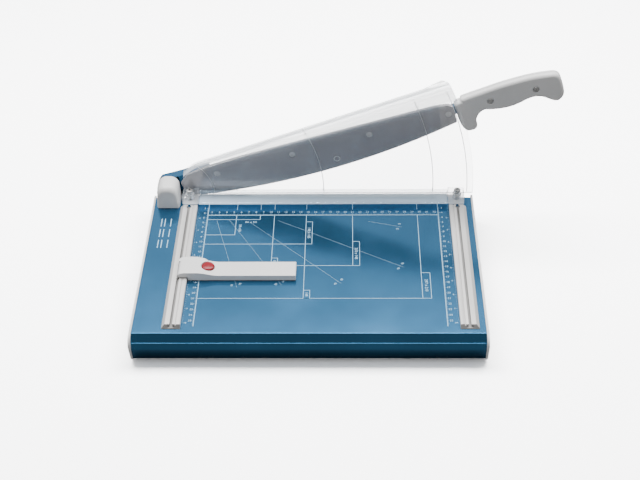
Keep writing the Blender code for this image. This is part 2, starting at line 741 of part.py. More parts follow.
def build():
    clear_scene()
    looks = {
        "blue": material("blue_paint", BLUE, 0.38),
        "grey": material("light_grey_plastic", GREY, 0.42),
        "steel": material("blade_steel", STEEL, 0.3, 1.0),
        "zinc": material("zinc_steel", (0.62, 0.62, 0.60), 0.35, 1.0),
        "iron": material("cast_iron", (0.12, 0.12, 0.13), 0.6, 0.6),
        "bronze": material("bronze", (0.55, 0.38, 0.18), 0.4, 1.0),
        "rubber": material("black_rubber", (0.03, 0.03, 0.03), 0.8),
        "clear": material("clear_plastic", (0.9, 0.94, 0.96), 0.05, 0.0, 0.35),
        "red": material("red_plastic", (0.55, 0.03, 0.04), 0.2),
    }
    root = empty("frame", 0, 0, 0)
    hinge = empty("arm_axis", PIVOT_X, 0, PIVOT_Z, root)
    clamp_slide = empty("clamp_axis", CUT_LENGTH / 2, POST_Y, CLAMP_LOW, root)
    stop_slide = empty("backstop_axis", -11.7, STOP_BACK, RAIL_TALL, root)
    button_slide = empty("button_axis", BUTTON_X, BUTTON_Y, 12.8, root)
    table(root, looks)
    fixed_blade(root, looks)
    pivot(root, looks)
    posts(root, looks)
    rails(root, looks)
    swinging_arm(hinge, looks)
    guard(clamp_slide, looks)
    clamp(clamp_slide, looks)
    backstop(stop_slide, button_slide, looks)
    settle(root)


build()
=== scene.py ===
import json
import math

import bmesh
import bpy
from mathutils import Matrix, Vector

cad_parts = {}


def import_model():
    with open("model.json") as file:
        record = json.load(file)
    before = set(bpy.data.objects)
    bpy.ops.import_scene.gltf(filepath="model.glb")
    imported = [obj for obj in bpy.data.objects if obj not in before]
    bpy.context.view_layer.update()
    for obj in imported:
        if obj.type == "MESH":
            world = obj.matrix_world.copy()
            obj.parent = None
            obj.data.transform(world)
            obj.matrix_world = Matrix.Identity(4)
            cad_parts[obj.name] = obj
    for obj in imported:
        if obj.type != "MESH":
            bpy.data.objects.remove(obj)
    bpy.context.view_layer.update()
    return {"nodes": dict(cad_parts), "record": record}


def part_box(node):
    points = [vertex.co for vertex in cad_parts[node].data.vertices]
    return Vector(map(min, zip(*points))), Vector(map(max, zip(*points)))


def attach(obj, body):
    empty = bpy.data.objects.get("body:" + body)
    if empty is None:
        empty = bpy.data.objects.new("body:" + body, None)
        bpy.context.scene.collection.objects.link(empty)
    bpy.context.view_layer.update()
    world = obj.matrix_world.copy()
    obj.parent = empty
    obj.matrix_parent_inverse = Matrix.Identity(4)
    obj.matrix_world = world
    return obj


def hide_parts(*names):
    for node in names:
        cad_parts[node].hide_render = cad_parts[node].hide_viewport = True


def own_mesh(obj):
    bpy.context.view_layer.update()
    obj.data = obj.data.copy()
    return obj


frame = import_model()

# The looks of a lever paper guillotine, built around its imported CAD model. Shapes are given in millimetres in
# the cutting frame: x along the cut from the left rail's inner edge, y from the shear plane away from the
# operator, z from the table top.

MM = 0.001

PIECES = {part["node"]: part["material_slot"] for part in frame["record"]["subparts"]}
BODY_OF = {
    node: body for body, nodes in frame["record"]["behaviour"]["bodies"].items() for node in nodes
}

BLADE_GAP = 0.15  # from the shear plane to each blade
LOWER_BLADE_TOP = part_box("lower_blade")[1]
LEFT_RAIL_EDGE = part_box("guide_rail_left")[1].x
ZERO = Vector((LEFT_RAIL_EDGE, LOWER_BLADE_TOP.y + BLADE_GAP * MM, LOWER_BLADE_TOP.z))
TO_WORLD = Matrix.Translation(ZERO) @ Matrix.Scale(MM, 4)
TO_CUT = TO_WORLD.inverted()


def cut_box(node):
    """A node's lowest and highest corners in the cutting frame, in millimetres."""
    low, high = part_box(node)
    return TO_CUT @ low, TO_CUT @ high


def middle_of(node, axis):
    """The node's middle seen along the axis: its two coordinates across it."""
    low, high = cut_box(node)
    return tuple((low[k] + high[k]) / 2 for k in range(3) if "XYZ"[k] != axis)


CUT_LENGTH = cut_box("guide_rail_right")[0].x
PIVOT = middle_of("pivot_shaft", "Y")
ARM_ANGLE = math.radians(17.2)  # how far the arm is raised at rest


# ---------------------------------------------------------------- materials


def node_maker(made):
    """Short calls that add a shader node and link two sockets in a material or a world."""
    tree = made.node_tree

    def new(kind, **values):
        node = tree.nodes.new("ShaderNode" + kind)
        for key, value in values.items():
            setattr(node, key, value)
        return node

    return new, tree.links.new


def noise(new, link, coords, scale, detail, stretch=None):
    """Noise with the given number of features per metre, drawn out along an axis by stretch."""
    texture = new("TexNoise")
    texture.inputs["Scale"].default_value = scale
    texture.inputs["Detail"].default_value = detail
    source = coords
    if stretch:
        mapping = new("Mapping")
        mapping.inputs["Scale"].default_value = stretch
        link(coords, mapping.inputs["Vector"])
        source = mapping.outputs["Vector"]
    link(source, texture.inputs["Vector"])
    return texture.outputs["Fac"]


def ranged(new, link, value, low, high, out_low, out_high):
    """The value moved from one range to another."""
    node = new("MapRange")
    for name, number in (
        ("From Min", low), ("From Max", high), ("To Min", out_low), ("To Max", out_high)
    ):
        node.inputs[name].default_value = number
    link(value, node.inputs["Value"])
    return node.outputs["Result"]


def mixed(new, link, factor, first, second):
    """The first colour turning into the second, each a tuple or a socket."""
    node = new("Mix", data_type="RGBA")
    link(factor, node.inputs["Factor"])
    for socket, colour in ((node.inputs[6], first), (node.inputs[7], second)):
        if isinstance(colour, tuple):
            socket.default_value = (*colour, 1.0)
        else:
            link(colour, socket)
    return node.outputs[2]


def surface(name, colour, roughness, metallic=0.0, tone=0.08, tone_scale=14.0, spread=0.07,
            grain=1500.0, depth=0.02, stretch=None, edge=None, edge_reach=0.5, **constants):
    """A Principled material with cloudy colour, uneven gloss, fine relief and lighter worn edges."""
    made = bpy.data.materials.new(name)
    made.use_nodes = True
    new, link = node_maker(made)
    shader = made.node_tree.nodes["Principled BSDF"]
    shader.inputs["Metallic"].default_value = metallic
    for key, value in constants.items():
        shader.inputs[key.replace("_", " ")].default_value = value
    coords = new("TexCoord").outputs["Object"]

    cloud = noise(new, link, coords, tone_scale, 4.0)
    factor = ranged(new, link, cloud, 0.3, 0.7, 0.0, 1.0)
    dark = tuple(c * (1 - tone) for c in colour)
    light = tuple(min(1.0, c * (1 + tone)) for c in colour)
    tint = mixed(new, link, factor, dark, light)
    if edge:
        bevel = new("Bevel", samples=4)
        bevel.inputs["Radius"].default_value = edge_reach * MM
        flat = new("NewGeometry").outputs["Normal"]
        facing = new("VectorMath", operation="DOT_PRODUCT")
        link(bevel.outputs["Normal"], facing.inputs[0])
        link(flat, facing.inputs[1])
        worn = ranged(new, link, facing.outputs["Value"], 0.995, 0.93, 0.0, 0.6)
        tint = mixed(new, link, worn, tint, edge)
    link(tint, shader.inputs["Base Color"])

    smudge = noise(new, link, coords, tone_scale * 3.1, 5.0, stretch)
    rough = ranged(new, link, smudge, 0.3, 0.7, max(0.02, roughness - spread), roughness + spread)
    link(rough, shader.inputs["Roughness"])

    fine = noise(new, link, coords, grain, 2.0, stretch)
    bump = new("Bump")
    bump.inputs["Strength"].default_value = 0.6
    bump.inputs["Distance"].default_value = depth * MM
    link(fine, bump.inputs["Height"])
    link(bump.outputs["Normal"], shader.inputs["Normal"])
    return made


def clear(name, colour, veil, shine, roughness, sheen_band=None):
    """Clear plastic: see-through face on, mirror-like at a slant, with a faint milky veil.

    The last argument, (a, b, c, start, end, share), paints in a milky band that stands for the bright
    reflection
    along a curved top: the veil grows to the share while a*x + b*y + c*z, in metres from the object's origin,
    goes from start to end, and that part lets light from behind through."""
    made = bpy.data.materials.new(name)
    made.use_nodes = True
    new, link = node_maker(made)
    tree = made.node_tree
    shader = tree.nodes["Principled BSDF"]
    shader.inputs["Metallic"].default_value = 0.5
    coords = new("TexCoord").outputs["Object"]
    cloud = noise(new, link, coords, 20.0, 3.0)
    tint = mixed(new, link, cloud, tuple(c * 0.97 for c in colour), colour)
    link(tint, shader.inputs["Base Color"])
    smudge = noise(new, link, coords, 60.0, 4.0)
    rough = ranged(new, link, smudge, 0.3, 0.7, roughness * 0.6, roughness * 1.5)
    link(rough, shader.inputs["Roughness"])
    bump = new("Bump")
    bump.inputs["Strength"].default_value = 0.2
    bump.inputs["Distance"].default_value = 0.05 * MM
    link(noise(new, link, coords, 35.0, 1.0), bump.inputs["Height"])
    link(bump.outputs["Normal"], shader.inputs["Normal"])
    fresnel = new("Fresnel")
    fresnel.inputs["IOR"].default_value = 1.5
    share = ranged(new, link, fresnel.outputs["Fac"], 0.04, 0.7, veil, shine)
    solid = shader.outputs["BSDF"]
    if sheen_band:
        # Painted reflection: a milky band, lit through from behind, stands in for the bright reflection along
        # the curved top.
        along = new("VectorMath", operation="DOT_PRODUCT")
        link(coords, along.inputs[0])
        along.inputs[1].default_value = sheen_band[:3]
        painted_sheen = new("MapRange", interpolation_type="SMOOTHSTEP")
        for key, number in zip(("From Min", "From Max", "To Min", "To Max"), (*sheen_band[3:5], 0.0, sheen_band[5])):
            painted_sheen.inputs[key].default_value = number
        link(along.outputs["Value"], painted_sheen.inputs["Value"])
        most = new("Math", operation="MAXIMUM")
        link(share, most.inputs[0])
        link(painted_sheen.outputs["Result"], most.inputs[1])
        share = most.outputs["Value"]
        painted_sheen_glow = new("BsdfTranslucent")
        painted_sheen_glow.inputs["Color"].default_value = (0.95, 0.97, 1.0, 1.0)
        blend = new("MixShader")
        link(painted_sheen.outputs["Result"], blend.inputs["Fac"])
        link(solid, blend.inputs[1])
        link(painted_sheen_glow.outputs["BSDF"], blend.inputs[2])
        solid = blend.outputs["Shader"]
    through = new("BsdfTransparent")
    mix = new("MixShader")
    link(share, mix.inputs["Fac"])
    link(through.outputs["BSDF"], mix.inputs[1])
    link(solid, mix.inputs[2])
    link(mix.outputs["Shader"], tree.nodes["Material Output"].inputs["Surface"])
    return made


BLADE_BACK = 29.0  # from the arm's axis to the blade's back
# The guard's milky band, a painted reflection of its curved top: how far it reaches below the blade's back, how
# far it fades in, and its share.
SHEEN_BAND_OVERLAP = 7.0
SHEEN_BAND_FADE = 13.0
SHEEN_BAND_SHARE = 0.42


def crown_frost():
    """A milky band painted on the guard above the raised blade's back, standing in for the bright reflection
    along its curved top, measured from the raised arm's own axis.
    """
    a, c = -math.sin(ARM_ANGLE), math.cos(ARM_ANGLE)
    axis_level = a * (ZERO.x + PIVOT[0] * MM) + c * (ZERO.z + PIVOT[1] * MM)
    start = axis_level + (BLADE_BACK - SHEEN_BAND_OVERLAP) * MM
    return (a, 0.0, c, start, start + SHEEN_BAND_FADE * MM, SHEEN_BAND_SHARE)


BLUE = (0.048, 0.165, 0.310)
LOOKS = {
    "blue_paint": surface("blue_paint", BLUE, 0.20, 0.94, tone=0.05, tone_scale=6.0, spread=0.03,
                          grain=2200, depth=0.002, edge=(0.12, 0.28, 0.42), edge_reach=0.3),
    "light_grey_plastic": surface("light_grey_plastic", (0.60, 0.595, 0.59), 0.42, tone=0.03,
                                  grain=1900, depth=0.03, edge=(0.70, 0.69, 0.68)),
    "grey_aluminium": surface("grey_aluminium", (0.60, 0.585, 0.57), 0.36, 0.55, tone=0.05, grain=700,
                              depth=0.01, stretch=(1.0, 0.04, 1.0), edge=(0.75, 0.73, 0.71)),
    "blade_steel": surface("blade_steel", (0.40, 0.385, 0.405), 0.42, 0.40, tone=0.10, grain=900,
                           depth=0.012, stretch=(0.05, 1.0, 1.0), edge=(0.36, 0.37, 0.40)),
    "ground_steel": surface("ground_steel", (0.42, 0.42, 0.44), 0.38, 0.6, tone=0.06, grain=1400,
                            depth=0.012, stretch=(1.0, 1.0, 0.06)),
    "zinc_steel": surface("zinc_steel", (0.50, 0.50, 0.49), 0.30, 0.95, tone=0.10, tone_scale=60.0,
                          grain=900, depth=0.01, edge=(0.70, 0.70, 0.69), edge_reach=0.3),
    "cast_iron": surface("cast_iron", (0.045, 0.046, 0.050), 0.62, 0.4, tone=0.15, grain=700, depth=0.12),
    "bronze": surface("bronze", (0.42, 0.27, 0.10), 0.36, 0.95, tone=0.12, tone_scale=50.0, grain=1800,
                      depth=0.02),
    "black_rubber": surface("black_rubber", (0.022, 0.022, 0.023), 0.72, tone=0.15, grain=900, depth=0.05),
    "clear_plastic": clear("clear_plastic", (0.90, 0.93, 0.96), 0.05, 0.70, 0.05),
    "rib_plastic": surface("rib_plastic", (0.80, 0.82, 0.84), 0.35, tone=0.04, grain=900, depth=0.01,
                           Transmission_Weight=0.35),
    # A darker grey painted into the rails' slots as their shade.
    "slot_painted_shade": surface("slot_painted_shade", (0.20, 0.195, 0.19), 0.5, 0.5, tone=0.10, grain=700, depth=0.02),
    # The guard's crown carries a milky band that is painted in as its bright reflection.
    "guard_plastic": clear("guard_plastic", (0.93, 0.95, 0.97), 0.04, 0.80, 0.05, crown_frost()),
    "bar_plastic": clear("bar_plastic", (0.80, 0.91, 1.0), 0.17, 0.95, 0.12),
    "red_plastic": surface("red_plastic", (0.19, 0.006, 0.012), 0.30, tone=0.08, tone_scale=80.0,
                           spread=0.05, grain=600, depth=0.01, Specular_IOR_Level=0.25),
    "screw_white": surface("screw_white", (0.62, 0.62, 0.63), 0.50, 0.3, tone=0.08, tone_scale=60.0,
                           grain=900, depth=0.01, edge=(0.75, 0.75, 0.75), edge_reach=0.3),
    "white_ink": surface("white_ink", (0.30, 0.50, 0.66), 0.5, tone=0.06, tone_scale=90.0, grain=2500,
                         depth=0.01),
}


# ---------------------------------------------------------------- mesh helpers


def axis_point(axis, first, second, level):
    """The point at a level along the axis, with its two coordinates across it."""
    if axis == "X":
        return (level, first, second)
    if axis == "Y":
        return (first, level, second)
    return (first, second, level)


def loft(work, rings, closed_ends=True):
    """Adds a skin through rings with the same number of points."""
    made = [[work.verts.new(point) for point in ring] for ring in rings]
    count = len(made[0])
    for low, high in zip(made, made[1:]):
        for i in range(count):
            j = (i + 1) % count
            work.faces.new((low[i], low[j], high[j], high[i]))
    if closed_ends:
        work.faces.new(made[0][::-1])
        work.faces.new(made[-1])
    return made


def prism(axis, outline, low, high):
    """The outline drawn out along the axis, from low to high."""
    work = bmesh.new()
    loft(work, [[axis_point(axis, a, b, level) for a, b in outline] for level in (low, high)])
    return work


def round_rings(axis, center, steps, sides):
    """One circle of points for each (level, radius)."""
    return [
        [axis_point(axis, a, b, level) for a, b in circle(center, radius, sides)]
        for level, radius in steps
    ]


def turned(axis, center, steps, sides):
    """A solid of revolution with a flat face at each end."""
    work = bmesh.new()
    loft(work, round_rings(axis, center, steps, sides))
    return work


def turned_ring(axis, center, steps, sides):
    """A solid of revolution whose profile closes on itself around a hole."""
    work = bmesh.new()
    rings = round_rings(axis, center, steps, sides)
    loft(work, rings + rings[:1], closed_ends=False)
    return work


def circle(center, radius, sides):
    """Points around a circle, anticlockwise from the first axis."""
    around = [2 * math.pi * i / sides for i in range(sides)]
    return [(center[0] + radius * math.cos(a), center[1] + radius * math.sin(a)) for a in around]


def rounded(points, radii, steps):
    """The outline with each corner replaced by a smooth bend of its own radius."""
    found = []
    count = len(points)
    for i, (corner, radius) in enumerate(zip(points, radii)):
        here = Vector(corner)
        before = Vector(points[i - 1]) - here
        after = Vector(points[(i + 1) % count]) - here
        if radius <= 0:
            found.append(tuple(here))
            continue
        opening = before.angle(after)
        reach = min(radius / math.tan(opening / 2), before.length * 0.48, after.length * 0.48)
        start, end = here + before.normalized() * reach, here + after.normalized() * reach
        for step in range(steps + 1):
            t = step / steps
            spot = start * (1 - t) ** 2 + here * 2 * t * (1 - t) + end * t**2
            found.append(tuple(spot))
    return found


def smooth_loop(points, steps):
    """A closed Catmull-Rom curve through the points."""
    found = []
    count = len(points)
    for i in range(count):
        p0, p1, p2, p3 = (Vector(points[(i + k) % count]) for k in (-1, 0, 1, 2))
        for step in range(steps):
            t = step / steps
            square = (2 * p0 - 5 * p1 + 4 * p2 - p3) * t**2
            cube = (3 * p1 - p0 - 3 * p2 + p3) * t**3
            found.append(tuple(0.5 * (2 * p1 + (p2 - p0) * t + square + cube)))
    return found


def anticlockwise(points):
    area = sum(a[0] * b[1] - b[0] * a[1] for a, b in zip(points, points[1:] + points[:1]))
    return points if area > 0 else points[::-1]


def arm_point(along, perp):
    """A point of the arm's own frame as (x, z)."""
    return (
        PIVOT[0] + along * math.cos(ARM_ANGLE) - perp * math.sin(ARM_ANGLE),
        PIVOT[1] + along * math.sin(ARM_ANGLE) + perp * math.cos(ARM_ANGLE),
    )


def raw(name, work, merge=0.0001):
    """A bmesh of the cutting frame becomes an object in the world frame."""
    bmesh.ops.remove_doubles(work, verts=work.verts, dist=merge)
    bmesh.ops.recalc_face_normals(work, faces=work.faces)
    bmesh.ops.transform(work, matrix=TO_WORLD, verts=work.verts)
    mesh = bpy.data.meshes.new(name)
    work.to_mesh(mesh)
    work.free()
    made = bpy.data.objects.new(name, mesh)
    bpy.context.scene.collection.objects.link(made)
    return made


def copy_of(node):
    """The CAD node's solid as a new mesh with its flat faces whole."""
    work = bmesh.new()
    work.from_mesh(frame["nodes"][node].data)
    bmesh.ops.remove_doubles(work, verts=work.verts, dist=1e-6)
    bmesh.ops.dissolve_limit(
        work, angle_limit=math.radians(0.6), verts=work.verts, edges=work.edges
    )
    mesh = bpy.data.meshes.new(node + "_look")
    work.to_mesh(mesh)
    work.free()
    made = bpy.data.objects.new(mesh.name, mesh)
    bpy.context.scene.collection.objects.link(made)
    return made


def carve(target, *cutters):
    """Cuts the cutters away from the target and removes them."""
    for cutter in cutters:
        change = target.modifiers.new("carve", "BOOLEAN")
        change.operation = "DIFFERENCE"
        change.solver = "EXACT"
        change.object = cutter
        bpy.context.view_layer.update()
        graph = bpy.context.evaluated_depsgraph_get()
        finished = bpy.data.meshes.new_from_object(target.evaluated_get(graph))
        target.modifiers.clear()
        target.data = finished
        bpy.data.objects.remove(cutter, do_unlink=True)
    return target


def soften(piece, width, segments=3, angle=32.0):
    """Smooth shading, and small round edges where faces meet at more than the angle."""
    piece.data.shade_smooth()
    piece.data.set_sharp_from_angle(angle=math.radians(angle))
    if width:
        bevel = piece.modifiers.new("round_edges", "BEVEL")
        bevel.width = width * MM
        bevel.segments = segments
        bevel.limit_method = "ANGLE"
        bevel.angle_limit = math.radians(angle)
        bevel.use_clamp_overlap = True
        bevel.harden_normals = True
        bevel.miter_outer = "MITER_ARC"
    return piece


def dress(piece, node=None, body=None, slot=None, look=None):
    """Gives the piece its material and its body; with a node, it stands for that CAD node."""
    slot = slot or PIECES[node]
    if not piece.data.materials:
        piece.data.materials.append(LOOKS[look or slot])
    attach(piece, body or BODY_OF[node])
    if node:
        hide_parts(node)
    return piece


def refined(node, width, segments=3, angle=32.0, look=None):
    """The CAD node with round edges and its finish."""
    return dress(soften(copy_of(node), width, segments, angle), node, look=look)


# ---------------------------------------------------------------- table


def table_skin():
    """The folded plate: top, two bends at the front, a return lip and the flange behind."""
    low, high = cut_box("table_shell")
    sheet, back = 2.0, high.y
    outer = [(back, low.z + 5.0), (back, 0.0), (-272.0, 0.0), (-280.5, -8.3), (low.y, -17.0),
             (-279.8, low.z), (-262.0, low.z)]
    inner = [(-262.0, low.z + sheet), (-277.6, low.z + sheet), (low.y + sheet, -17.2),
             (-278.7, -9.3), (-271.2, -sheet), (back - sheet, -sheet), (back - sheet, low.z + 5.0)]
    bends = [0, 1.6, 1.0, 5.0, 7.0, 2.2, 0]
    outline = rounded(outer + inner, bends + [0, 1.0, 5.0, 0.5, 1.5, 0.5, 0], 6)
    skin = raw("table_skin", prism("X", outline, low.x, high.x))
    notch = [(-52.6, -18.6), (-25.4, -18.6), (-25.4, 10.0), (-52.6, 10.0)]
    cutters = [raw("notch", prism("Z", notch, -60.0, 10.0))]
    holes = [(f"lower_blade_screw_{i}", "Y", 2.3) for i in range(1, 5)]
    holes += [(f"bracket_screw_{i}", "Z", 2.1) for i in (1, 2)]
    for node, axis, radius in holes:
        steps = [(-12.0, radius), (5.0, radius)]
        cutters.append(raw("hole", turned(axis, middle_of(node, axis), steps, 24)))
    carve(skin, *cutters)
    dress(soften(skin, 0.25, 2, 40.0), "table_shell")


INK_THICK = 0.05
INK_LEVEL = 0.045  # middle of the printed layer above the table top
NUMBERS = {}  # the mesh of each number that has been written, by text and size


def glyphs(text, size):
    """The outline of a short number as a thin solid, centred on its own origin, in millimetres."""
    curve = bpy.data.curves.new("number", "FONT")
    curve.body = text
    curve.size = size
    curve.align_x = "CENTER"
    curve.align_y = "CENTER"
    curve.resolution_u = 2
    curve.extrude = INK_THICK / 2
    holder = bpy.data.objects.new("number", curve)
    bpy.context.scene.collection.objects.link(holder)
    bpy.context.view_layer.update()
    graph = bpy.context.evaluated_depsgraph_get()
    mesh = bpy.data.meshes.new_from_object(holder.evaluated_get(graph))
    bpy.data.objects.remove(holder, do_unlink=True)
    return mesh


def write(work, text, x, y, size, turn=0.0):
    """Adds a number to the print at (x, y), turned by the angle in degrees."""
    if (text, size) not in NUMBERS:
        NUMBERS[text, size] = glyphs(text, size)
    before = len(work.verts)
    work.from_mesh(NUMBERS[text, size])
    work.verts.ensure_lookup_table()
    move = Matrix.Translation((x, y, INK_LEVEL)) @ Matrix.Rotation(math.radians(turn), 4, "Z")
    bmesh.ops.transform(work, matrix=move, verts=work.verts[before:])


def stroke(work, start, end, width):
    """A printed line as a thin bar."""
    first, last = Vector(start), Vector(end)
    side = (last - first).normalized().orthogonal() * width / 2
    corners = [first + side, first - side, last - side, last + side]
    low, high = INK_LEVEL - INK_THICK / 2, INK_LEVEL + INK_THICK / 2
    loft(work, [[(c.x, c.y, level) for c in corners] for level in (low, high)])


def path(work, points, width):
    """Printed lines from point to point."""
    for start, end in zip(points, points[1:]):
        stroke(work, start, end, width)


RULER_Y = -44.7
SCALE_LEFT, SCALE_RIGHT = 15.0, 325.0
SCALE_FRONT = -260.0
# width and depth of each outline, from the left rail's edge and the cut
PAPER = ((54.0, 86.0), (86.0, 54.0), (148.0, 105.0), (210.0, 148.0), (297.0, 210.0))
CLAMP_EDGE = -27.5
BOLD, LINE, THIN, HAIR = 0.85, 0.62, 0.4, 0.22  # widths of the printed lines
LABEL_LINE = THIN * 1.5
EIGHTH = 25.4 / 8
# each angle line's angle, and where it starts and ends
FAN = ((15, 58.0, 196.0), (30, 63.0, 214.0), (45, 84.0, 258.0), (60, 112.0, 303.0), (75, 226.0, 272.0))


def print_paper(work):
    """The scales' base lines and the outlines of the paper sizes, which all start at the left scale."""
    above, below = CLAMP_EDGE + 22.0, CLAMP_EDGE - 5.0
    stroke(work, (SCALE_LEFT, RULER_Y), (SCALE_RIGHT, RULER_Y), BOLD)
    for side in (SCALE_LEFT, SCALE_RIGHT):
        stroke(work, (side, CLAMP_EDGE + 24.0), (side, SCALE_FRONT), BOLD)
    for wide, deep in PAPER:
        path(work, [(wide, RULER_Y), (wide, -deep), (SCALE_LEFT, -deep)], LINE)
        stroke(work, (wide, above), (wide, below), LINE)
    stroke(work, (105.0, below), (105.0, above), LINE)
    stroke(work, (105.0, RULER_Y), (105.0, -148.0), LINE)
    stroke(work, (148.0, -105.0), (148.0, -210.0), LINE)


def print_labels(work):
    """The paper sizes in millimetres, most of them in a box on their outline's right side."""
    for x, top, deep, wide, text in (
        (148.0, 59.0, 105.0, 8.5, "148 x 105"),
        (210.0, 100.0, 148.0, 9.0, "210 x 148"),
        (297.0, 162.0, 210.0, 11.0, "297 x 210"),
    ):
        path(work, [(x, -top), (x + wide, -top), (x + wide, -deep), (x, -deep)], LABEL_LINE)
        write(work, text, x + wide / 2, -(top + deep) / 2, 5.6, -90)
    for x, deep, text in ((105.0, 148.0, "105"), (148.0, 210.0, "148")):
        top = deep - 15.0
        path(work, [(x, -top), (x + 8.0, -top), (x + 8.0, -deep), (x, -deep)], LABEL_LINE)
        write(work, text, x + 4.0, -(top + deep) / 2, 5.0, -90)
    write(work, "86 x 54", 74.0, -59.5, 5.0)
    write(work, "54 x 86", 60.0, -72.0, 5.0, -90)


def tick_length(count, whole, half, part):
    """A scale's tick is longest at each ten and longer at each five."""
    return whole if count % 10 == 0 else half if count % 5 == 0 else part


def print_scales(work):
    """Centimetres along the cut and down both sides, with eighths of an inch outside the side scales."""
    for tick in range(int(SCALE_LEFT) + 1, int(SCALE_RIGHT)):
        length = tick_length(tick, 3.6, 2.6, 1.5)
        stroke(work, (tick, RULER_Y), (tick, RULER_Y + length), HAIR)
        if tick % 10 == 0:
            write(work, str(tick // 10), tick, RULER_Y + 6.6, 4.6)

    for side, out in ((SCALE_LEFT, -1.0), (SCALE_RIGHT, 1.0)):
        for tick in range(28, int(-SCALE_FRONT)):
            length = tick_length(tick, 2.6, 2.0, 1.2)
            stroke(work, (side, -tick), (side + out * length, -tick), HAIR)
            if tick % 10 == 0:
                write(work, str(tick // 10), side + out * 5.0, -tick, 4.4)
        for count in range(9, int(-SCALE_FRONT / EIGHTH)):
            length = 2.2 if count % 8 == 0 else 1.2
            outer = side + out * 14.2
            stroke(work, (outer, -count * EIGHTH), (outer - out * length, -count * EIGHTH), HAIR)
            if count % 8 == 0:
                write(work, str(count // 8), side + out * 10.4, -count * EIGHTH, 3.6)


def print_fan(work):
    """Angle lines, each with its angle on one side of its end and the complement on the other."""
    origin = Vector((13.0, 0.0))
    for angle, near, far in FAN:
        lean = math.radians(angle)
        direction = Vector((math.sin(lean), -math.cos(lean)))
        stroke(work, origin + direction * near, origin + direction * far, HAIR * 0.8)
        across = Vector((direction.y, -direction.x))
        for side, number in ((1, angle), (-1, 90 - angle)):
            spot = origin + direction * (far - 5.0) + across * side * 5.5
            write(work, str(number), spot.x, spot.y, 4.0, 90 - angle)


def print_notes(work):
    """Plain strokes outside the left rail, where small print would stand."""
    for x in (-46.0, -41.5, -33.5):
        for row in range(3):
            stroke(work, (x, -52.0 - row * 22.0), (x, -68.0 - row * 22.0), 1.1)


def printed():
    work = bmesh.new()
    print_paper(work)
    print_labels(work)
    print_scales(work)
    print_fan(work)
    print_notes(work)
    made = raw("table_print", work, 0.002)
    made.data.materials.append(LOOKS["white_ink"])
    made.data.set_sharp_from_angle(angle=math.radians(30))
    dress(made, body="frame", slot="light_grey_plastic")


def end_caps():
    for side in ("left", "right"):
        refined(f"end_cap_{side}", 0.9, 4, 30.0)


def underside():
    for side in ("left", "right"):
        refined(f"cross_member_{side}", 0.5, 3)
        for end in ("front", "back"):
            foot(f"foot_{end}_{side}")
            fastener(f"foot_screw_{end}_{side}", "Z", 1, 1.5, 4.0, 1.8, 2.0)


def foot(node):
    """A rubber foot with a rounded sole, ribs around its side and a bore for its screw."""
    low, high = cut_box(node)
    radius = (high.x - low.x) / 2
    steps = [(low.z + 2.9, 2.4), (low.z + 2.9, 4.6), (low.z + 0.3, 4.6), (low.z, 5.0)]
    steps += [(low.z, radius - 1.6), (low.z + 0.35, radius - 0.7), (low.z + 1.0, radius - 0.3)]
    for i in range(3):
        base = low.z + 1.5 + i * 1.35
        steps += [(base, radius - 0.05), (base + 0.5, radius - 0.05)]
        steps += [(base + 0.7, radius - 0.5), (base + 1.0, radius - 0.5)]
    steps += [(high.z, radius - 0.6), (high.z, 2.4)]
    body = turned_ring("Z", middle_of(node, "Z"), steps, 40)
    dress(soften(raw(node + "_look", body), 0.12, 2), node)


# ---------------------------------------------------------------- fasteners and springs


def hexagon(center, across, sides):
    """A hexagon with half its width given, drawn with as many points as a circle of that many sides."""
    found = []
    for i in range(sides):
        angle = 2 * math.pi * i / sides
        off = (angle + math.pi / 6) % (math.pi / 3) - math.pi / 6
        reach = across / math.cos(off)
        found.append((center[0] + reach * math.cos(angle), center[1] + reach * math.sin(angle)))
    return found


def fastener(node, axis, sign, head, head_radius, shank_radius, socket, dome=0.0, look=None):
    """A screw with a hexagon socket, whose head is at the low end when sign is 1 and at the high end when -1.

    head is the head's height, socket is half the hexagon's width, and dome adds to the head's crown."""
    low, high = cut_box(node)
    index = "XYZ".index(axis)
    middle = middle_of(node, axis)
    start = low[index] if sign > 0 else high[index]
    length = high[index] - low[index]
    sides = 36
    depth = min(head * 0.62, 1.9)
    rings = [(level, hexagon(middle, socket, sides)) for level in (depth, dome * 0.1)]
    steps = [
        (0.0, socket * 1.45),
        (0.12 + dome * 0.4, head_radius - 0.45 - dome * 0.3),
        (0.5 + dome, head_radius),
        (head - 0.15, head_radius),
        (head, head_radius - 0.1),
        (head, shank_radius),
        (length - 0.6, shank_radius),
        (length, shank_radius - 0.5),
    ]
    rings += [(level, circle(middle, radius, sides)) for level, radius in steps]
    work = bmesh.new()
    loft(work, [[axis_point(axis, a, b, start + sign * level) for a, b in ring] for level, ring in rings])
    return dress(soften(raw(node + "_look", work), 0), node, look=look)


def spring(node, radius, wire, turns):
    """A compression spring with closed end turns, on a mesh of its own."""
    low, high = cut_box(node)
    middle = middle_of(node, "Z")
    per_turn, sides = 28, 10
    bottom, top = low.z + wire, high.z - wire
    rings = []
    count = int(turns * per_turn)
    for i in range(count + 1):
        t = i / count
        turn = 2 * math.pi * t * turns
        rise = t - 0.10 * math.sin(4 * math.pi * t) / (2 * math.pi) - 0.03 * math.sin(2 * math.pi * t)
        level = bottom + (top - bottom) * min(1.0, max(0.0, rise))
        points = []
        for k in range(sides):
            around = 2 * math.pi * k / sides
            reach = radius + wire * math.cos(around)
            points.append((
                middle[0] + reach * math.cos(turn),
                middle[1] + reach * math.sin(turn),
                level + wire * math.sin(around),
            ))
        rings.append(points)
    work = bmesh.new()
    loft(work, rings)
    piece = soften(raw(node + "_look", work), 0)
    dress(piece, node)
    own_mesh(piece)


# ---------------------------------------------------------------- pivot


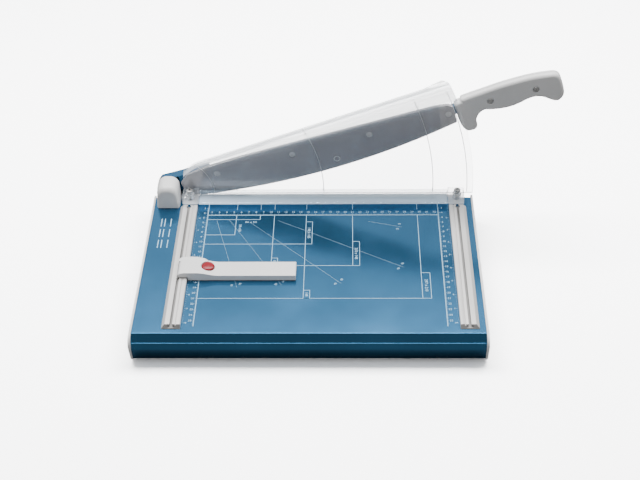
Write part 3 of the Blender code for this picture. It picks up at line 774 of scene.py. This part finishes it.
def cover_outline(side_in, top):
    """The cover seen from in front: upright sides and a round top, each side drawn in by side_in."""
    radius, arc = 12.0, 14
    half, lean, base = 15.8 - side_in, 1.4, 0.35
    right = [(half, base), (half - 0.1, base + 1.0), (half - lean, top - radius)]
    for step in range(1, arc + 1):
        angle = math.radians(90 * step / (arc + 1))
        right.append((
            (half - lean) - radius * (1 - math.cos(angle)),
            top - radius + radius * math.sin(angle),
        ))
    left = [(-a, b) for a, b in reversed(right)]
    return [(-40.2 + a, b) for a, b in right + left]


def pivot_cover():
    """A moulded cap with a softly rounded front edge, open behind and below."""
    low, high = cut_box("pivot_cover")
    # each level is a place along y, how far the sides are drawn in there, and the top
    levels = [(high.y, 1.2, 33.0), (high.y - 0.5, 0.6, 33.6), (high.y - 1.4, 0.15, 34.0)]
    levels += [(-8.0, 0.0, 34.1), (-15.0, 0.0, 33.8)]
    reach = 8.5
    for step in range(10):
        angle = math.radians(90 * step / 10 + 4)
        y = low.y + reach * (1 - math.sin(angle))
        levels.append((y, 2.9 * (1 - math.cos(angle)), 33.4 - 7.4 * (1 - math.cos(angle))))
    work = bmesh.new()
    loft(work, [[(x, y, z) for x, z in cover_outline(side, top)] for y, side, top in levels])
    cover = raw("pivot_cover_look", work)
    inside = ((3.0, 31.1), (-20.0, 30.9), (-27.0, 25.5))
    hollow = bmesh.new()
    loft(hollow, [[(x, y, z if z > 1 else -1.0) for x, z in cover_outline(1.9, top)] for y, top in inside])
    carve(cover, raw("hollow", hollow))
    dress(soften(cover, 0.3, 2, 40.0), "pivot_cover")


def pivot_parts():
    refined("pivot_bracket", 0.8, 3)
    for i in (1, 2):
        fastener(f"bracket_screw_{i}", "Z", -1, 2.5, 3.4, 1.8, 1.6)
    for node, width in (("thrust_washer", 0.2), ("spring_washer", 0.25), ("pivot_bush", 0.3)):
        round_ring(node, width)
    low, high = cut_box("pivot_shaft")
    steps = [(low.y, 6.4), (low.y + 0.6, 7.0), (high.y - 8.4, 7.0)]
    for i in range(6):
        base = high.y - 8.2 + i * 1.2
        steps += [(base + 0.3, 6.55), (base + 0.9, 7.0)]
    steps += [(high.y - 0.6, 6.6), (high.y, 5.6)]
    shaft = raw("pivot_shaft_look", turned("Y", PIVOT, steps, 48))
    dress(soften(shaft, 0, angle=40.0), "pivot_shaft")
    refined("pivot_nut", 0.35)


def round_ring(node, width):
    """A washer or bush around the shaft, with its edges rounded to the width."""
    low, high = cut_box(node)
    outer = (high.x - low.x) / 2
    inner = 7.3
    steps = [(low.y, inner), (low.y, outer), (high.y, outer), (high.y, inner)]
    dress(soften(raw(node + "_look", turned_ring("Y", PIVOT, steps, 64)), width, 2), node)


# ---------------------------------------------------------------- arm, blade and grip


def upper_blade():
    """A bowed blade with a ground strip along its edge and countersunk screw holes."""
    low, high = cut_box("upper_blade")
    front, back = low.y, high.y
    first, last, lowest, radius = 20.0, 403.5, (190.0, -26.5), 956.0
    count, strip, bevel = 70, 4.6, 1.8
    edge = []
    for i in range(count + 1):
        along = first + (last - first) * i / count
        edge.append((along, lowest[1] + (along - lowest[0]) ** 2 / (2 * radius)))
    corners = [(last, 22.0), (398.0, 26.5), (380.0, BLADE_BACK), (110.0, BLADE_BACK), (60.0, 26.6),
               (32.0, 22.0), (19.0, 12.0)]
    top = rounded(corners, [0, 4, 8, 30, 30, 10, 0], 4)
    rim = edge + [(edge[-1][0], edge[-1][1] + strip)] + top + [(edge[0][0], edge[0][1] + strip)]
    behind = [(a, p + bevel) for a, p in edge] + rim[count + 1:]
    work = bmesh.new()

    def ring(points, level):
        spots = [arm_point(a, p) for a, p in points]
        return [work.verts.new((x, level, z)) for x, z in spots]

    near, far = ring(rim, front), ring(behind, back)
    total = len(near)
    for i in range(total):
        j = (i + 1) % total
        face = work.faces.new((near[i], near[j], far[j], far[i]))
        face.material_index = 1 if i < count else 0
    work.faces.new(far[::-1])
    inner = ring([(a, p + strip) for a, p in edge[1:-1]], front)
    line = [near[-1]] + inner + [near[count + 1]]
    for i in range(count):
        face = work.faces.new((near[i], near[i + 1], line[i + 1], line[i]))
        face.material_index = 1
    work.faces.new(line + near[count + 2:-1])
    blade = raw("upper_blade_look", work)
    blade.data.materials.append(LOOKS["blade_steel"])
    blade.data.materials.append(LOOKS["ground_steel"])
    hole = [(-5.0, 4.6), (2.4, 4.6), (2.4, 2.8), (10.0, 2.8)]  # y and radius of a stepped screw hole
    for i in range(1, 5):
        screw = f"blade_screw_{i}"
        carve(blade, raw("hole", turned("Y", middle_of(screw, "Y"), hole, 36)))
        fastener(screw, "Y", 1, 1.8, 4.3, 2.5, 1.9, look="screw_white")
    dress(soften(blade, 0.08, 2, 40.0), "upper_blade")


# The grip in the arm's own frame: the line through its middle, its outline, and the tang's pocket with its
# reach along y.
SPINE = [(416.0, -18.0), (417.0, 0.0), (427.0, 12.5), (455.0, 12.5), (480.0, 12.0), (505.0, 15.0),
         (524.0, 13.0), (534.0, 4.0), (536.0, -3.0)]
GRIP = [
    (405.5, 20.0), (414.5, 22.6), (417.0, 26.0), (442.0, 28.6), (467.0, 31.0), (489.0, 31.8),
    (510.0, 31.6), (531.0, 29.0), (541.5, 26.0), (545.6, 18.0), (545.8, -5.0), (539.0, -13.8),
    (532.0, -14.2), (525.0, -9.6), (518.0, -4.0), (510.0, -0.8), (500.0, -0.9), (489.0, -3.7),
    (477.0, -5.8), (463.0, -5.4), (450.0, -3.0), (442.0, -0.9), (435.0, -3.4), (429.5, -9.5),
    (427.0, -16.0), (426.6, -23.0), (422.0, -27.0), (412.0, -26.0), (407.0, -17.0), (405.2, -5.0),
    (405.0, 8.0),
]
TANG_OUTLINE = ((395.0, 2.0), (395.0, 17.1), (523.6, 17.1), (523.6, 2.0))
TANG_ROOM = (9.2, 16.8)


def nearest_on_spine(point):
    """The spine's point closest to the given one, towards which the grip's skin is drawn in."""
    best = None
    for start, end in zip(SPINE, SPINE[1:]):
        a, b = Vector(start), Vector(end)
        t = max(0.0, min(1.0, (Vector(point) - a).dot(b - a) / (b - a).length_squared))
        spot = a + (b - a) * t
        if best is None or (spot - Vector(point)).length < (best - Vector(point)).length:
            best = spot
    return best


def eased(values, rounds):
    """The closed list of vectors smoothed along itself, so that no fold shows."""
    for _ in range(rounds):
        values = [
            values[i - 1] * 0.25 + values[i] * 0.5 + values[(i + 1) % len(values)] * 0.25
            for i in range(len(values))
        ]
    return values


def grip():
    """Two crowned halves: each skin rises from the seam over a round shoulder to a gentle face."""
    low = cut_box("handle_shell_front")[0].y
    high = cut_box("handle_shell_rear")[1].y
    middle = (low + high) / 2
    outline = anticlockwise(smooth_loop(GRIP, 5))
    pull = eased([nearest_on_spine(p) - Vector(p) for p in outline], 6)
    half = middle - low
    shoulder = 5.4
    # each level is a depth below the face and how far the skin is drawn in there
    levels = [(half - 0.15, 0.35), (half - 0.35, 0.12), (half - 0.8, 0.0), (shoulder, 0.0)]
    steps = 9
    for step in range(1, steps + 1):
        angle = math.radians(90 * step / steps)
        levels.append((shoulder * (1 - math.sin(angle)), shoulder * 0.95 * (1 - math.cos(angle))))
    for side, node in ((-1, "handle_shell_front"), (1, "handle_shell_rear")):
        work = bmesh.new()
        rings = []
        for depth, inward in levels:
            y = middle + side * (half - depth)
            ring = []
            for point, way in zip(outline, pull):
                moved = Vector(point) + way.normalized() * min(inward, way.length * 0.8)
                x, z = arm_point(*moved)
                ring.append((x, y, z))
            rings.append(ring)
        loft(work, rings)
        shell = raw(node + "_look", work)
        room = [arm_point(*corner) for corner in TANG_OUTLINE]
        cutters = [raw("room", prism("Y", room, *TANG_ROOM))]
        for i in (1, 2):
            spot = middle_of(f"handle_screw_{i}", "Y")
            cutters.append(raw("bore", turned("Y", spot, [(low - 5.0, 2.4), (19.0, 2.4)], 24)))
            if side < 0:
                sink = [(low - 1.0, 5.1), (low + 0.7, 4.2), (low + 2.5, 4.2)]
                cutters.append(raw("sink", turned("Y", spot, sink, 40)))
        carve(shell, *cutters)
        dress(soften(shell, 0.15, 2, 42.0), node)
    for i in (1, 2):
        fastener(f"handle_screw_{i}", "Y", 1, 1.6, 3.7, 2.1, 2.0)


# ---------------------------------------------------------------- clamp and guard


CROWN_SLOPE = 0.382
CROWN_START = 66.0 - 45.0 * CROWN_SLOPE  # the crown's height at x = 0
SHOULDER, SHOULDER_RUN, SHOULDER_DROP = 2.0, 22.5, 6.5  # left of the shoulder the crown bends down
GUARD_EDGE = 413.0  # the guard's right edge lies on this circle around the pivot
GUARD_CROWN = 178.0  # about the crown's height at the guard's right edge
HOOD_RADIUS = 8.0
HOOD_CORNER = 11.0
# each raised line on the guard: its radius around the pivot at the bottom, its top and its lean
RIBS = ((60.0, 52.0, 0.02), (210.0, 110.0, 0.02), (358.5, 156.0, 0.02), (405.0, 168.0, 0.0))


def hood_top(x):
    """The height of the guard's crown."""
    line = CROWN_START + CROWN_SLOPE * x
    if x >= SHOULDER:
        return line
    fall = (SHOULDER - x) / SHOULDER_RUN
    return line - SHOULDER_DROP * fall**2


def around_pivot(radius, level):
    """Where a circle around the pivot crosses the given height, as x."""
    return PIVOT[0] + math.sqrt(radius**2 - (level - PIVOT[1]) ** 2)


def guard_right(y, z, front):
    """The guard's right end at a height; the hood's corner is rounded behind."""
    reach = around_pivot(GUARD_EDGE, z)
    inside = max(0.0, y - front - 4.0)
    return reach - HOOD_CORNER + math.sqrt(max(0.0, HOOD_CORNER**2 - min(inside, HOOD_CORNER) ** 2))


def guard_ring(x, share, span):
    """The guard's section at x, or a share of the way from x to its right edge."""
    front, back, bottom, thick = span
    wall, arc = 10, 10

    def spot(y, drop, height=1.0):
        end = guard_right(y, bottom + (GUARD_CROWN - drop - bottom) * height, front)
        here = x + (end - x) * share
        crown = hood_top(x + (guard_right(front, GUARD_CROWN - drop, front) - x) * share) - drop
        return (here, y, bottom + (crown - bottom) * height)

    outer = [spot(front, HOOD_RADIUS, k / wall) for k in range(wall)]
    inner = [spot(front + thick, HOOD_RADIUS, k / wall) for k in range(wall)]
    for step in range(arc + 1):
        angle = math.radians(90 * step / arc)
        y, drop = front + HOOD_RADIUS * (1 - math.cos(angle)), HOOD_RADIUS * (1 - math.sin(angle))
        outer.append(spot(y, drop))
        reach = HOOD_RADIUS - thick
        y, drop = front + HOOD_RADIUS - reach * math.cos(angle), HOOD_RADIUS - reach * math.sin(angle)
        inner.append(spot(y, drop))
    for k in range(1, 5):
        y = front + HOOD_RADIUS + (back - front - HOOD_RADIUS) * k / 4
        outer.append(spot(y, 0.0))
        inner.append(spot(y, thick))
    return outer + inner[::-1]


def blade_guard():
    """A clear panel whose top folds back over the blade, with raised arcs and a round right edge."""
    low, high = cut_box("blade_guard")
    thick, front, bottom, last = 2.5, low.y, low.z, 300.0
    span = (front, high.y, bottom, thick)
    columns = [low.x + SHOULDER_RUN * (1 - math.cos(math.radians(9 * k))) for k in range(11)]
    columns += [SHOULDER + (last - SHOULDER) * k / 24 for k in range(1, 25)]
    rings = [guard_ring(x, 0.0, span) for x in columns]
    rings += [guard_ring(last, k / 12, span) for k in range(1, 13)]
    work = bmesh.new()
    made = loft(work, rings, closed_ends=False)
    work.faces.new(made[0][::-1])
    end = made[-1]
    for i in range(len(end) // 2 - 1):
        work.faces.new((end[i], end[i + 1], end[-2 - i], end[-1 - i]))
    panel = raw("blade_guard_look", work)
    dress(soften(panel, 0.3, 2, 40.0), "blade_guard", look="guard_plastic")

    rear = front + thick
    for number, (reach, top, lean) in enumerate(RIBS, 1):
        guard_relief(f"guard_rib_{number}", rib(reach, top, lean, bottom + 0.6, rear))
    mark, mark_height = (189.3, 62.0), 0.5
    steps = [(rear, 4.6), (rear + mark_height, 4.4), (rear + mark_height, 3.4), (rear, 3.2)]
    guard_relief("guard_gate_mark", turned_ring("Y", mark, steps, 40))


def rib(reach, top, lean, bottom, y):
    """A fine raised line on the guard's rear face, on a circle around the pivot that lean widens upwards."""
    rings = []
    steps = 24
    for k in range(steps + 1):
        z = bottom + (top - bottom) * k / steps
        x = around_pivot(reach + (z - bottom) * lean, z)
        rings.append([(x - 0.5, y, z), (x - 0.3, y + 0.5, z), (x + 0.3, y + 0.5, z), (x + 0.5, y, z)])
    work = bmesh.new()
    loft(work, rings)
    return work


def guard_relief(name, work):
    """A raised detail on the guard, which moves with it."""
    dress(soften(raw(name, work), 0), body="clamp", slot="clear_plastic", look="rib_plastic")


def clamp_parts():
    refined("clamp_bar", 0.35, 3, 30.0, "bar_plastic")
    for side in ("left", "right"):
        refined(f"clamp_block_{side}", 0.5, 3, 30.0)
        fastener(f"guide_screw_{side}", "Z", -1, 2.9, 4.6, 2.4, 1.7, dome=0.5)
        spring(f"clamp_spring_{side}", 4.4, 0.6, 5.0)


# ---------------------------------------------------------------- rails and backstop


RAIL_SLOT = 11.6  # from each rail's inner edge to the middle of its slot
GROOVE = 5.6  # from the slot's middle to the fine groove beside it


def rails():
    """Each rail with a groove beside its slot, a round hole at its back end, and shade painted on its slot's
    inner faces as a darker grey.
    """
    for side, x, at in (
        ("left", -RAIL_SLOT, -RAIL_SLOT + GROOVE),
        ("right", CUT_LENGTH + RAIL_SLOT, CUT_LENGTH + RAIL_SLOT - GROOVE),
    ):
        node = f"guide_rail_{side}"
        rail = copy_of(node)
        front, back = (corner.y for corner in cut_box(node))
        hole = raw("hole", turned("Z", (x, back - 4.4), [(1.5, 3.1), (9.0, 3.1)], 40))
        line = [(at - 0.4, 3.8), (at + 0.4, 3.8), (at + 0.4, 9.0), (at - 0.4, 9.0)]
        carve(rail, hole, raw("groove", prism("Y", line, front - 5.0, back + 5.0)))
        rail.data.materials.clear()
        rail.data.materials.append(LOOKS["grey_aluminium"])
        rail.data.materials.append(LOOKS["slot_painted_shade"])
        # Painted shade: the faces inside the slot take the darker grey.
        for face in rail.data.polygons:
            spot = TO_CUT @ face.center
            face.material_index = 1 if abs(spot.x - x) < 4.0 and 1.0 < spot.z < 4.9 else 0
        dress(soften(rail, 0.3, 3, 25.0), node)


def backstop():
    refined("backstop_arm", 1.1, 4, 30.0)
    refined("slide_shoe", 0.2, 2)
    spring("button_spring", 4.5, 0.5, 2.5)
    button()


def button():
    """A glossy domed button."""
    low, high = cut_box("release_button")
    radius = (high.x - low.x) / 2
    rise, tip = 2.4, 0.15
    steps = [(low.z, radius - 0.4), (low.z + 0.3, radius), (high.z - rise, radius)]
    for angle in (math.radians(5 * step) for step in range(1, 19)):
        steps.append((high.z - rise * (1 - math.sin(angle)), max(tip, radius * math.cos(angle))))
    dome = turned("Z", middle_of("release_button", "Z"), steps, 64)
    dress(soften(raw("release_button_look", dome), 0), "release_button")


# ---------------------------------------------------------------- studio


FLOOR_SEEN, FLOOR_BOUNCE = 2.5, 0.10  # the floor's brightness to the camera and to all other rays
WORLD_BACK, WORLD_FRONT = 1.15, 0.21


def floor():
    """A pale sweep that looks white and throws little light back up at the object."""
    made = bpy.data.materials.new("studio_floor")
    made.use_nodes = True
    new, link = node_maker(made)
    shader = made.node_tree.nodes["Principled BSDF"]
    seen = new("LightPath").outputs["Is Camera Ray"]
    white = mixed(new, link, seen, (FLOOR_BOUNCE,) * 3, (FLOOR_SEEN,) * 3)
    link(white, shader.inputs["Base Color"])
    shader.inputs["Roughness"].default_value = 0.9
    shader.inputs["Specular IOR Level"].default_value = 0.0
    work = bmesh.new()
    size = 4.0
    corners = ((-size, -size, 0), (size, -size, 0), (size, size, 0), (-size, size, 0))
    work.faces.new([work.verts.new(corner) for corner in corners])
    mesh = bpy.data.meshes.new("studio_floor")
    work.to_mesh(mesh)
    work.free()
    mesh.materials.append(made)
    plane = bpy.data.objects.new("studio_floor", mesh)
    bpy.context.scene.collection.objects.link(plane)


def world():
    """A pale room, brighter behind and above the object than in front of it."""
    made = bpy.data.worlds.new("studio")
    bpy.context.scene.world = made
    made.use_nodes = True
    new, link = node_maker(made)
    background = made.node_tree.nodes["Background"]
    split = new("SeparateXYZ")
    link(new("TexCoord").outputs["Generated"], split.inputs["Vector"])
    depth = ranged(new, link, split.outputs["Y"], -0.5, 0.5, WORLD_FRONT, WORLD_BACK)
    link(depth, background.inputs["Strength"])
    background.inputs["Color"].default_value = (0.96, 0.98, 1.0, 1.0)


def softbox(name, place, target, size, power):
    """A rectangular lamp turned towards its target, in metres and watts."""
    lamp = bpy.data.lights.new(name, "AREA")
    lamp.shape = "RECTANGLE"
    lamp.size, lamp.size_y = size
    lamp.energy = power
    holder = bpy.data.objects.new(name, lamp)
    bpy.context.scene.collection.objects.link(holder)
    holder.location = place
    holder.rotation_euler = (Vector(target) - Vector(place)).to_track_quat("-Z", "Y").to_euler()


def camera():
    """Looks down at the table from in front, from the operator's side, with a slight roll."""
    place = TO_WORLD @ Vector((206.5, -1355.1, 1055.5))
    target = TO_WORLD @ Vector((167.1, -96.9, 0.0))
    roll = math.radians(-1.255)
    forward = (target - place).normalized()
    right = forward.cross(Vector((0, 0, 1))).normalized()
    up = right.cross(forward)
    tilted_right = right * math.cos(roll) + up * math.sin(roll)
    tilted_up = up * math.cos(roll) - right * math.sin(roll)
    data = bpy.data.cameras.new("camera")
    data.lens = 70.27
    data.sensor_width = 36.0
    data.clip_end = 20.0
    holder = bpy.data.objects.new("camera", data)
    bpy.context.scene.collection.objects.link(holder)
    turn = Matrix((tilted_right, tilted_up, -forward)).transposed().to_4x4()
    holder.matrix_world = Matrix.Translation(place) @ turn
    bpy.context.scene.camera = holder


def studio():
    floor()
    world()
    softbox("overhead", (0.0, 0.55, 1.75), (0.0, 0.0, 0.05), (2.6, 0.8), 114.0)
    softbox("low_front", (0.0, -2.6, 0.50), (0.0, 0.0, 0.0), (3.2, 0.36), 23.0)
    camera()


def build():
    table_skin()
    printed()
    end_caps()
    underside()
    refined("lower_blade", 0.3, 2)
    for i in range(1, 5):
        fastener(f"lower_blade_screw_{i}", "Y", 1, 3.1, 3.8, 2.0, 1.9)
    pivot_parts()
    pivot_cover()
    refined("blade_arm", 0.9, 3)
    upper_blade()
    grip()
    blade_guard()
    clamp_parts()
    rails()
    backstop()
    studio()


build()
